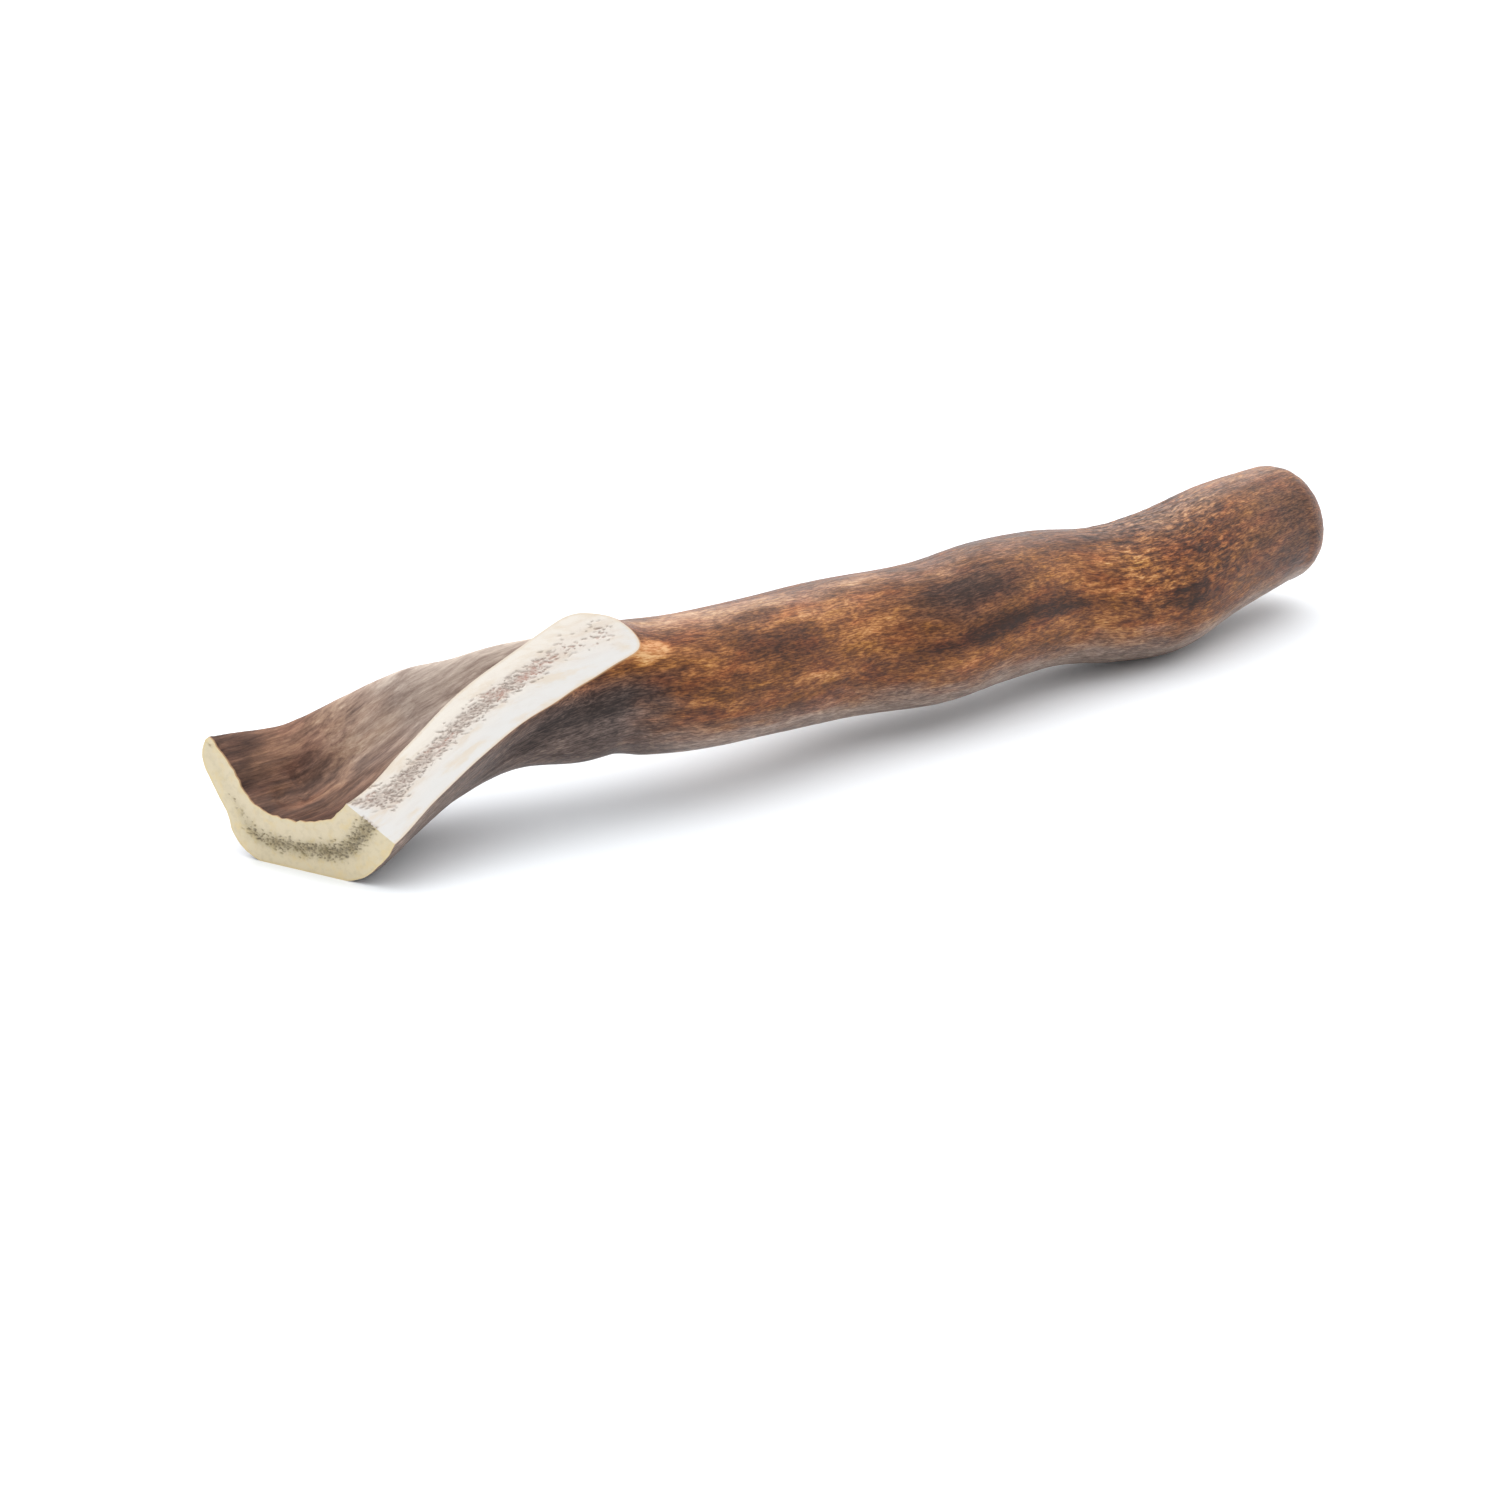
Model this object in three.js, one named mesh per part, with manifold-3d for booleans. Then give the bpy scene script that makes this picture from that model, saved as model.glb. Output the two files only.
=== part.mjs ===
// A sawn length of deer antler, millimetres, +Z up, lying on its side.
//
// The beam is a round, slightly wavy rod that flattens at one end into a palm: a thick floor with
// a wall on each side and a trough between them. Two saw cuts dress the palm. One goes square
// across its end, the other runs lengthwise through the front wall. The far end is sawn off square
// and its rim is worn round.
//
// The outside is a loft. Every station along the antler has one closed outline, and a smooth curve
// runs lengthwise through the like points of all outlines.

import * as THREE from 'three';
import { mergeVertices } from 'three/addons/utils/BufferGeometryUtils.js';
import Module from 'manifold-3d';

const BONE_BROWN = 0x6b4a33;

// Steps of the loft: edges on each quarter of an outline, and rings between two stations.
const QUARTERS = { backOutside: 13, backInside: 7, frontInside: 7, frontOutside: 15 };
const RINGS_PER_SPAN = 4;
const DENSE = 48;

// Walled stations, from beyond the palm's saw cut to where the trough closes. The floor of the
// palm is `flat` to each side of its middle (y, z), then bends up with radius `bend` into walls.
// `base` is half the floor's thickness; `reach`, `half` and `lean` are a wall's length along its
// middle, half its thickness and its slope in degrees; `square` is how blunt its edge is.
const WALLED = [
  { x: -28, y: 9.4, z: 5.3, flat: 7, bend: 5.8, base: 5.2, square: 4.4,
    back: { reach: 30.5, half: 3.2, lean: 59.5 }, front: { reach: 27, half: 6.3, lean: 55 } },
  { x: -12, y: 9.4, z: 5.3, flat: 7, bend: 5.8, base: 5.2, square: 4.4,
    back: { reach: 30.5, half: 3.2, lean: 59.5 }, front: { reach: 27, half: 6.3, lean: 55 } },
  { x: 3, y: 10.5, z: 5.65, flat: 6.7, bend: 6.5, base: 5.5, square: 4.2,
    back: { reach: 28.4, half: 3.5, lean: 60.5 }, front: { reach: 30, half: 6.9, lean: 55 } },
  { x: 16, y: 12.8, z: 9, flat: 3, bend: 7, base: 6.3, square: 3.8,
    back: { reach: 25, half: 4, lean: 63 }, front: { reach: 30, half: 7.2, lean: 51.5 } },
  { x: 29, y: 14.6, z: 13.8, flat: 1.5, bend: 6, base: 7, square: 3.4,
    back: { reach: 21.2, half: 4.6, lean: 66 }, front: { reach: 30, half: 7.8, lean: 51.3 } },
  { x: 43, y: 11.6, z: 19.8, flat: 0.5, bend: 5, base: 8.8, square: 3.2,
    back: { reach: 15.9, half: 6, lean: 66 }, front: { reach: 29, half: 7.6, lean: 60 } },
];

// How far past its flat middle the floor's thickness runs out into a wall's.
const FLOOR_SPREAD = 10;

// A wall's edge slants down from the trough side to the outside. The slant fades in near the edge,
// and the greater its power, the nearer.
const EDGE_SLANT = 0.9;
const EDGE_START = 8;

// Round stations of the beam: centre and radius. `crest` is how far the last of the front wall
// stands out of the round.
const ROUND = [
  { x: 56, y: 5.7, z: 24.1, radius: 12.8, crest: 7 },
  { x: 64, y: 4.8, z: 24.9, radius: 13.2, crest: 4.3 },
  { x: 71, y: 2.9, z: 24.8, radius: 14.2, crest: 0 },
  { x: 84, y: 1.4, z: 23.8, radius: 14.4, crest: 0 },
  { x: 103, y: 3, z: 22.5, radius: 14.7, crest: 0 },
  { x: 125, y: 6.2, z: 20.6, radius: 15.1, crest: 0 },
  { x: 147, y: 4.6, z: 19.6, radius: 15.6, crest: 0 },
  { x: 166, y: 6.2, z: 20.1, radius: 15.7, crest: 0 },
  { x: 184, y: 8.6, z: 18.8, radius: 15.3, crest: 0 },
  { x: 200, y: 7, z: 16.8, radius: 15.4, crest: 0 },
  { x: 217, y: 7.8, z: 16.2, radius: 16.2, crest: 0 },
  { x: 238, y: 12, z: 18.5, radius: 15.2, crest: 0 },
  { x: 258, y: 15.4, z: 19.5, radius: 13.8, crest: 0 },
];

// Degrees round a round outline, from the back over the top, where the palm's walls and trough run
// out into it, and how many degrees wide the crest of the front wall is.
const BACK_WALL_AT = 60;
const TROUGH_AT = 78;
const FRONT_WALL_AT = 102;
const BOTTOM_AT = 270;
const CREST_SPREAD = 28;

// The far end: its worn rim, and the slight droop towards its last face.
const RIM_RADIUS = 9.5;
const RIM_RINGS = 5;
const END_DROOP = 1.5;

// The palm and the beam are worn flat up to this height where they touch the surface.
const WORN_FLAT = 0.35;

// Saw cuts. A cut faces away from the antler, turned this many degrees from -X towards -Y, and the
// long one slopes up. The palm's goes through the point 0, 0, 0, and the long one passes above it.
const PALM_SAW_TURN = 25.7;
const LONG_SAW_TURN = 66.3;
const LONG_SAW_SLOPE = 49.2;
const LONG_SAW_HEIGHT = 17.25;

// Edge of the block of waste beyond a cut.
const SAW_WASTE = 300;

const radians = THREE.MathUtils.degToRad;

// A point of a walled section: `along` the middle of a wall from the middle of the floor, and
// `off` it, positive towards the trough.
function wallPoint({ flat, bend }, wall, side, along, off) {
  const lean = radians(wall.lean);
  const turned = THREE.MathUtils.clamp((along - flat) / bend, 0, lean);
  const straight = Math.max(along - flat - bend * lean, 0);
  const across = Math.min(along, flat) + bend * Math.sin(turned) + straight * Math.cos(lean);
  const up = bend * (1 - Math.cos(turned)) + straight * Math.sin(lean);
  return new THREE.Vector2(side * (across - off * Math.sin(turned)), up + off * Math.cos(turned));
}

// The outside (`face` -1) or trough side (`face` 1) of a wall, from the floor's middle to its edge.
function wallLine(station, wall, side, face) {
  const power = 2 / station.square;
  const points = [];
  for (let i = 0; i <= DENSE; i++) {
    const turn = (Math.PI / 2) * (i / DENSE);
    const along = wall.reach * Math.sin(turn) ** power;
    const past = Math.max(0, along - station.flat) / FLOOR_SPREAD;
    const swell = Math.max(0, 1 - past ** 2) ** 1.5;
    const half = wall.half + (station.base - wall.half) * swell;
    const off = face * half * Math.abs(Math.cos(turn)) ** power;
    const slanted = along + EDGE_SLANT * off * (along / wall.reach) ** EDGE_START;
    points.push(wallPoint(station, wall, side, slanted, off));
  }
  return points;
}

// Where the segments a-b and c-d cross, or null.
function crossing(a, b, c, d) {
  const first = b.clone().sub(a);
  const second = d.clone().sub(c);
  const gap = c.clone().sub(a);
  const span = first.cross(second);
  const t = gap.cross(second) / span;
  const u = gap.cross(first) / span;
  return t >= 0 && t <= 1 && u >= 0 && u <= 1 ? a.clone().addScaledVector(first, t) : null;
}

// Where the trough is narrow the two walls run into each other: both lines start where they meet.
function meetInTrough(back, front) {
  for (let i = back.length - 2; i > 0; i--) {
    for (let j = front.length - 2; j > 0; j--) {
      const point = crossing(back[i], back[i + 1], front[j], front[j + 1]);
      if (point) {
        return [[point, ...back.slice(i + 1)], [point, ...front.slice(j + 1)]];
      }
    }
  }
  return [back, front];
}

function walledOutline(station) {
  const { back, front } = station;
  const [backInside, frontInside] = meetInTrough(
    wallLine(station, back, 1, 1), wallLine(station, front, -1, 1));
  const spaced = (line, edges) => new THREE.SplineCurve(line).getSpacedPoints(edges);
  const quarters = [
    spaced(wallLine(station, back, 1, -1), QUARTERS.backOutside),
    spaced(backInside, QUARTERS.backInside).reverse(),
    spaced(frontInside, QUARTERS.frontInside),
    spaced(wallLine(station, front, -1, -1), QUARTERS.frontOutside).reverse(),
  ];
  return quarters.flatMap((quarter) => quarter.slice(0, -1));
}

function roundQuarter({ radius, crest }, from, to, edges) {
  const points = [];
  for (let i = 0; i < edges; i++) {
    const degrees = from + (to - from) * (i / edges);
    const stand = crest * Math.exp(-(((degrees - FRONT_WALL_AT) / CREST_SPREAD) ** 2));
    const angle = radians(degrees);
    points.push(new THREE.Vector2(Math.cos(angle), Math.sin(angle)).multiplyScalar(radius + stand));
  }
  return points;
}

function roundOutline(station) {
  return [
    ...roundQuarter(station, BOTTOM_AT - 360, BACK_WALL_AT, QUARTERS.backOutside),
    ...roundQuarter(station, BACK_WALL_AT, TROUGH_AT, QUARTERS.backInside),
    ...roundQuarter(station, TROUGH_AT, FRONT_WALL_AT, QUARTERS.frontInside),
    ...roundQuarter(station, FRONT_WALL_AT, BOTTOM_AT, QUARTERS.frontOutside),
  ];
}

function placeOutline(outline, { x, y, z }) {
  return outline.map((point) => new THREE.Vector3(x, y + point.x, z + point.y));
}

// All rings of the loft, from the palm to the far end's worn rim.
function loftRings() {
  const stations = [
    ...WALLED.map((station) => placeOutline(walledOutline(station), station)),
    ...ROUND.map((station) => placeOutline(roundOutline(station), station)),
  ];
  const ringCount = (stations.length - 1) * RINGS_PER_SPAN + 1;
  const rings = Array.from({ length: ringCount }, () => []);
  stations[0].forEach((_, j) => {
    const lengthwise = new THREE.CatmullRomCurve3(
      stations.map((ring) => ring[j]), false, 'catmullrom', 0.5);
    rings.forEach((ring, i) => ring.push(lengthwise.getPoint(i / (ringCount - 1))));
  });

  const end = ROUND.at(-1);
  const centre = new THREE.Vector3(end.x, end.y, end.z);
  const last = rings.at(-1);
  for (let i = 1; i <= RIM_RINGS; i++) {
    const turn = (Math.PI / 2) * (i / RIM_RINGS);
    const shrink = 1 - (RIM_RADIUS * (1 - Math.cos(turn))) / end.radius;
    const step = new THREE.Vector3(RIM_RADIUS * Math.sin(turn), 0, -END_DROOP * (1 - Math.cos(turn)));
    rings.push(last.map((point) => point.clone().sub(centre).multiplyScalar(shrink)
      .add(centre).add(step)));
  }
  for (const point of rings.flat()) {
    point.z = Math.max(point.z, WORN_FLAT);
  }
  return rings;
}

function ringsToGeometry(rings) {
  const around = rings[0].length;
  const vertices = rings.flat();
  const index = [];
  for (let i = 0; i < rings.length - 1; i++) {
    for (let j = 0; j < around; j++) {
      const a = i * around + j;
      const b = i * around + ((j + 1) % around);
      index.push(a, b, b + around, a, b + around, a + around);
    }
  }
  for (const [ring, flip] of [[0, true], [rings.length - 1, false]]) {
    const middle = rings[ring].reduce((sum, point) => sum.add(point), new THREE.Vector3());
    vertices.push(middle.divideScalar(around));
    for (let j = 0; j < around; j++) {
      const a = ring * around + j;
      const b = ring * around + ((j + 1) % around);
      index.push(vertices.length - 1, flip ? b : a, flip ? a : b);
    }
  }
  const geometry = new THREE.BufferGeometry().setFromPoints(vertices);
  geometry.setIndex(index);
  return geometry;
}

// The block of waste beyond a saw cut: a box with one face on the cut.
function sawWaste(point, away) {
  const geometry = new THREE.BoxGeometry(SAW_WASTE, SAW_WASTE, SAW_WASTE);
  geometry.translate(0, 0, SAW_WASTE / 2);
  geometry.applyQuaternion(
    new THREE.Quaternion().setFromUnitVectors(new THREE.Vector3(0, 0, 1), away));
  return geometry.translate(point.x, point.y, point.z);
}

const wasm = await Module();
wasm.setup();

function toSolid(geometry) {
  geometry.deleteAttribute('normal');
  geometry.deleteAttribute('uv');
  const merged = mergeVertices(geometry);
  return new wasm.Manifold(new wasm.Mesh({
    numProp: 3,
    vertProperties: new Float32Array(merged.attributes.position.array),
    triVerts: new Uint32Array(merged.index.array),
  }));
}

function toGeometry(solid) {
  const mesh = solid.getMesh();
  const geometry = new THREE.BufferGeometry();
  geometry.setAttribute('position', new THREE.BufferAttribute(new Float32Array(mesh.vertProperties), 3));
  geometry.setIndex(new THREE.BufferAttribute(new Uint32Array(mesh.triVerts), 1));
  geometry.computeVertexNormals();
  return geometry;
}

function makeAntler() {
  const palmTurn = radians(PALM_SAW_TURN);
  const palmAway = new THREE.Vector3(-Math.cos(palmTurn), -Math.sin(palmTurn), 0);
  const slope = radians(LONG_SAW_SLOPE);
  const turn = radians(LONG_SAW_TURN);
  const longAway = new THREE.Vector3(
    -Math.cos(slope) * Math.cos(turn), -Math.cos(slope) * Math.sin(turn), Math.sin(slope));

  const geometry = toGeometry(toSolid(ringsToGeometry(loftRings()))
    .subtract(toSolid(sawWaste(new THREE.Vector3(0, 0, 0), palmAway)))
    .subtract(toSolid(sawWaste(new THREE.Vector3(0, 0, LONG_SAW_HEIGHT), longAway))));

  // The origin is under the middle of the antler, on the surface it lies on.
  geometry.computeBoundingBox();
  const { min, max } = geometry.boundingBox;
  geometry.translate(-(min.x + max.x) / 2, -(min.y + max.y) / 2, -min.z);

  const material = new THREE.MeshStandardMaterial({ color: BONE_BROWN, roughness: 0.5, metalness: 0 });
  const antler = new THREE.Mesh(geometry, material);
  antler.name = 'antler';
  return antler;
}

const part = new THREE.Group();
part.add(makeAntler());

export default part;
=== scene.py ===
import math

import bmesh
import bpy
import numpy as np
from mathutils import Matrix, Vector, kdtree, noise
from mathutils.geometry import delaunay_2d_cdt


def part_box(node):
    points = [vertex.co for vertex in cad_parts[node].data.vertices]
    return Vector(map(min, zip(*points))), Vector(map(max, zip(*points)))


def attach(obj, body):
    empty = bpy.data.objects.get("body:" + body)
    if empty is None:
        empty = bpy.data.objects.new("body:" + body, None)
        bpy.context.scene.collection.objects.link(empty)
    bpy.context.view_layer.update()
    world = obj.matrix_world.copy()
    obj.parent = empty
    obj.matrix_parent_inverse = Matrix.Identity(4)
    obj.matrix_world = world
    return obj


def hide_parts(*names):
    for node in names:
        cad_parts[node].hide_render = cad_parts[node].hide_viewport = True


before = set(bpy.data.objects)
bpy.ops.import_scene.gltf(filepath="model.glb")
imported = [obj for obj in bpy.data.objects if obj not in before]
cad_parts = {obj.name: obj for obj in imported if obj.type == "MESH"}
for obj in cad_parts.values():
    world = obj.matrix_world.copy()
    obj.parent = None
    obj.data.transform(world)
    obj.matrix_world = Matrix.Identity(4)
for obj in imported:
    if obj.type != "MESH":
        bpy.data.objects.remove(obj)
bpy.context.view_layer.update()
bpy.ops.object.select_all(action="DESELECT")


# Camera. A 100 mm lens on a 36 mm sensor looks down on the antler from the front, past its sawn
# palm and along the beam.
LENS_MM = 100
SENSOR_MM = 36
AZIMUTH = math.radians(-35.5)
ELEVATION = math.radians(22)
AIM = Vector((-0.02384, -0.00289, 0.00204))
DISTANCE = 0.8865

towards_camera = Vector((
    math.sin(AZIMUTH) * math.cos(ELEVATION), -math.cos(AZIMUTH) * math.cos(ELEVATION), math.sin(ELEVATION)))
bpy.ops.object.camera_add(
    location=AIM + DISTANCE * towards_camera,
    rotation=towards_camera.to_track_quat("Z", "Y").to_euler())
camera = bpy.context.object
camera.data.lens = LENS_MM
camera.data.sensor_width = SENSOR_MM
camera.data.clip_start = 0.01
bpy.context.scene.camera = camera
bpy.ops.object.select_all(action="DESELECT")


# Beam and palm. The antler grew as one piece of bone, a wavy beam that flattens into a palm: a
# thick floor with a wall on each side and a trough between them. Sizes are in millimetres from the
# front corner of the palm's saw cut, and the surface is drawn through outlines across the antler.
MM = 0.001

# The palm's floor is `flat` to each side of its middle (y, z), then bends up with radius `bend`
# into walls. `base` is half the floor's thickness; `reach`, `half` and `lean` are a wall's length
# along its middle, half its thickness and its slope in degrees; `square` is how blunt its edge is.
WALLED = [
    dict(x=-28, y=9.4, z=5.3, flat=7, bend=5.8, base=5.2, square=4.4,
         back=dict(reach=30.5, half=3.2, lean=59.5), front=dict(reach=27, half=6.3, lean=55)),
    dict(x=-12, y=9.4, z=5.3, flat=7, bend=5.8, base=5.2, square=4.4,
         back=dict(reach=30.5, half=3.2, lean=59.5), front=dict(reach=27, half=6.3, lean=55)),
    dict(x=3, y=10.5, z=5.65, flat=6.7, bend=6.5, base=5.5, square=4.2,
         back=dict(reach=28.4, half=3.5, lean=60.5), front=dict(reach=30, half=6.9, lean=55)),
    dict(x=16, y=12.8, z=9, flat=3, bend=7, base=6.3, square=3.8,
         back=dict(reach=25, half=4, lean=63), front=dict(reach=30, half=7.2, lean=51.5)),
    dict(x=29, y=14.6, z=13.8, flat=1.5, bend=6, base=7, square=3.4,
         back=dict(reach=21.2, half=4.6, lean=66), front=dict(reach=30, half=7.8, lean=51.3)),
    dict(x=43, y=11.6, z=19.8, flat=0.5, bend=5, base=8.8, square=3.2,
         back=dict(reach=15.9, half=6, lean=66), front=dict(reach=29, half=7.6, lean=60)),
]
FLOOR_SPREAD = 10
EDGE_SLANT = 0.9
EDGE_START = 8

# The beam's centre and radius. `crest` is how far the last of the front wall stands out of it.
ROUND = [
    dict(x=56, y=5.7, z=24.1, radius=12.8, crest=7),
    dict(x=64, y=4.8, z=24.9, radius=13.2, crest=4.3),
    dict(x=71, y=2.9, z=24.8, radius=14.2, crest=0),
    dict(x=84, y=1.4, z=23.8, radius=14.4, crest=0),
    dict(x=103, y=3, z=22.5, radius=14.7, crest=0),
    dict(x=125, y=6.2, z=20.6, radius=15.1, crest=0),
    dict(x=147, y=4.6, z=19.6, radius=15.6, crest=0),
    dict(x=166, y=6.2, z=20.1, radius=15.7, crest=0),
    dict(x=184, y=8.6, z=18.8, radius=15.3, crest=0),
    dict(x=200, y=7, z=16.8, radius=15.4, crest=0),
    dict(x=217, y=7.8, z=16.2, radius=16.2, crest=0),
    dict(x=238, y=12, z=18.5, radius=15.2, crest=0),
    dict(x=258, y=15.4, z=19.5, radius=13.8, crest=0),
]

# Degrees round the beam, from the back over the top, and the steps from one to the next.
CORNERS = [-90, 60, 78, 102, 270]
QUARTER_STEPS = [58, 26, 26, 64]
FRONT_WALL_AT = 102
CREST_SPREAD = 28
DENSE = 193
RING_STEP = 0.72
RIM_RADIUS = 9.5
RIM_RINGS = 14
END_DROOP = 1.5
WORN_FLAT = 0.35


def wall_line(section, wall, side, face):
    """One side of a wall, from the floor's middle to its edge, as across + up * 1j."""
    turn = np.linspace(0, math.pi / 2, DENSE)
    along = wall["reach"] * np.sin(turn) ** (2 / section["square"])
    past = np.maximum(0, along - section["flat"]) / FLOOR_SPREAD
    swell = np.maximum(0, 1 - past ** 2) ** 1.5
    half = wall["half"] + (section["base"] - wall["half"]) * swell
    off = face * half * np.abs(np.cos(turn)) ** (2 / section["square"])
    along += EDGE_SLANT * off * (along / wall["reach"]) ** EDGE_START
    lean = math.radians(wall["lean"])
    turned = np.clip((along - section["flat"]) / section["bend"], 0, lean)
    straight = np.maximum(along - section["flat"] - section["bend"] * lean, 0)
    across = np.minimum(along, section["flat"]) + section["bend"] * np.sin(turned) + straight * math.cos(lean)
    up = section["bend"] * (1 - np.cos(turned)) + straight * math.sin(lean)
    return side * (across - off * np.sin(turned)) + 1j * (up + off * np.cos(turned))


def meet_in_trough(back, front):
    """Where the trough is narrow its two sides run into each other: both start where they meet."""
    starts, steps = front[:-1], np.diff(front)
    for i in range(DENSE - 2, 0, -1):
        step = back[i + 1] - back[i]
        span = (step.conjugate() * steps).imag
        gap = starts - back[i]
        on_back = (gap.conj() * steps).imag / span
        on_front = (gap.conj() * step).imag / span
        meets = np.flatnonzero((on_back >= 0) & (on_back <= 1) & (on_front >= 0) & (on_front <= 1))
        if len(meets) and meets[-1] > 0:
            j = meets[-1]
            point = back[i] + step * on_back[j]
            return np.append(point, back[i + 1:]), np.append(point, front[j + 1:])
    return back, front


def evenly(line, count):
    """Points at even steps along a line, without its last one."""
    run = np.append(0, np.cumsum(np.abs(np.diff(line))))
    steps = np.linspace(0, run[-1], count, endpoint=False)
    return np.interp(steps, run, line.real) + 1j * np.interp(steps, run, line.imag)


def walled_outline(section):
    back_trough, front_trough = meet_in_trough(
        wall_line(section, section["back"], 1, 1), wall_line(section, section["front"], -1, 1))
    quarters = [
        wall_line(section, section["back"], 1, -1), back_trough[::-1],
        front_trough, wall_line(section, section["front"], -1, -1)[::-1]]
    return np.concatenate([evenly(quarter, count) for quarter, count in zip(quarters, QUARTER_STEPS)])


def bell(values, centre, width):
    """1 at the centre, falling smoothly to nothing about two widths away."""
    return np.exp(-((values - centre) / width) ** 2)


def round_outline(section):
    degrees = np.concatenate([
        np.linspace(start, end, count, endpoint=False)
        for start, end, count in zip(CORNERS, CORNERS[1:], QUARTER_STEPS)])
    crest = section["crest"] * bell(degrees, FRONT_WALL_AT, CREST_SPREAD)
    return (section["radius"] + crest) * np.exp(1j * np.radians(degrees))


def placed(section, outline):
    """An outline's points in space, at its section's place along the antler."""
    return np.stack([
        np.full(len(outline), float(section["x"])),
        section["y"] + outline.real, section["z"] + outline.imag], 1)


def rings_through(outlines):
    """Rings on smooth curves that run lengthwise through the like points of all outlines."""
    outlines = [2 * outlines[0] - outlines[1], *outlines, 2 * outlines[-1] - outlines[-2]]
    rings = []
    for before, start, end, after in zip(outlines, outlines[1:], outlines[2:], outlines[3:]):
        count = round((end[0, 0] - start[0, 0]) / RING_STEP)
        for t in np.arange(count) / count:
            bend = (2 * before - 5 * start + 4 * end - after) * t ** 2
            sway = (3 * start - before - 3 * end + after) * t ** 3
            rings.append((2 * start + (end - before) * t + bend + sway) / 2)
    return rings + [outlines[-2]]


rings = rings_through(
    [placed(s, walled_outline(s)) for s in WALLED] + [placed(s, round_outline(s)) for s in ROUND])
last_ring = rings[-1]
last_centre = np.array([ROUND[-1]["x"], ROUND[-1]["y"], ROUND[-1]["z"]])
for i in range(1, RIM_RINGS + 1):
    turn = math.pi / 2 * i / RIM_RINGS
    shrink = 1 - RIM_RADIUS * (1 - math.cos(turn)) / ROUND[-1]["radius"]
    step = np.array([RIM_RADIUS * math.sin(turn), 0, -END_DROOP * (1 - math.cos(turn))])
    rings.append(last_centre + (last_ring - last_centre) * shrink + step)
surface = np.array(rings)
ring_count, around = surface.shape[:2]

# The trough's middle is rounded out, and so is the front wall lengthwise where it runs out. The
# wall's end is given in millimetres along the antler and in columns from the trough's middle.
TROUGH_PASSES, TROUGH_COLUMNS = 80, 7
WALL_END_PASSES = 60
WALL_END_AT, WALL_END_REACH = 54, 9
WALL_END_COLUMN, WALL_END_COLUMNS = 46, 22
trough_middle = QUARTER_STEPS[0] + QUARTER_STEPS[1]
near_middle = bell(np.arange(around), trough_middle, TROUGH_COLUMNS)
for _ in range(TROUGH_PASSES):
    halfway = (np.roll(surface, 1, 1) + np.roll(surface, -1, 1)) / 2
    surface += 0.5 * near_middle[:, None] * (halfway - surface)
wall_end = bell(surface[..., 0], WALL_END_AT, WALL_END_REACH)
wall_end *= bell(np.arange(around), trough_middle + WALL_END_COLUMN, WALL_END_COLUMNS)
for _ in range(WALL_END_PASSES):
    halfway = (surface[:-2] + surface[2:]) / 2
    surface[1:-1] += 0.5 * wall_end[1:-1, :, None] * (halfway - surface[1:-1])


# Bark. The outside of the bone under the shed velvet: fine grooves along the grain, and in the
# trough one blunt ridge and small holes where blood vessels ran. It is worn flat underneath.
COURSE = np.array([[s["x"], s["y"], s["z"]] for s in WALLED + ROUND], float)


def along_the_grain(points):
    """Points with the beam's course taken out: x, and y and z from the middle, in millimetres."""
    return np.stack([
        points[..., 0],
        points[..., 1] - np.interp(points[..., 0], COURSE[:, 0], COURSE[:, 1]),
        points[..., 2] - np.interp(points[..., 0], COURSE[:, 0], COURSE[:, 2])], -1)


def degrees_round(grain):
    """Degrees round the beam: 0 at the back, 90 on top, 180 in front, 270 below."""
    return np.degrees(np.arctan2(grain[..., 2], grain[..., 1])) % 360


def roughness_of(grain, stretch, octaves, seed):
    """Noise of about -1 to 1 whose features are `stretch` millimetres long, wide and high."""
    scaled = (grain / stretch + seed).reshape(-1, 3)
    values = [noise.fractal(Vector(point), 1, 2, octaves) for point in scaled]
    return np.array(values).reshape(grain.shape[:-1])


def rise(values, start, end):
    """0 before start, 1 after end, and smooth between; start may be the greater."""
    t = np.clip((values - start) / (end - start), 0, 1)
    return t * t * (3 - 2 * t)


grain = along_the_grain(surface)
length_at = grain[..., 0]
angle_at = degrees_round(grain)
columns = np.arange(around)
trough_columns = rise(columns, QUARTER_STEPS[0] - 2, QUARTER_STEPS[0] + 3) * rise(
    columns, trough_middle + QUARTER_STEPS[2] + 2, trough_middle + QUARTER_STEPS[2] - 3)
in_trough = rise(columns, QUARTER_STEPS[0] + 3, QUARTER_STEPS[0] + 12)
in_trough = in_trough * trough_columns * rise(length_at, 62, 44)

PALM_SAW_TURN = math.radians(25.7)
palm_away = Vector((-math.cos(PALM_SAW_TURN), -math.sin(PALM_SAW_TURN), 0))
from_palm_cut = -(surface @ np.array(palm_away))
LONG_SAW_TURN = math.radians(66.3)
LONG_SAW_SLOPE = math.radians(49.2)
LONG_SAW_HEIGHT = 17.25
long_away = Vector((
    -math.cos(LONG_SAW_SLOPE) * math.cos(LONG_SAW_TURN),
    -math.cos(LONG_SAW_SLOPE) * math.sin(LONG_SAW_TURN), math.sin(LONG_SAW_SLOPE)))
from_long_cut = np.abs((surface - [0, 0, LONG_SAW_HEIGHT]) @ np.array(long_away))

# Fine grooves and longer swells, both deeper in the trough.
relief = (0.09 + 0.16 * in_trough) * roughness_of(grain, (20, 1.7, 1.7), 4, 3.1)
relief += (0.07 + 0.12 * in_trough) * roughness_of(grain, (17, 8, 8), 2, 8.4)

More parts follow.
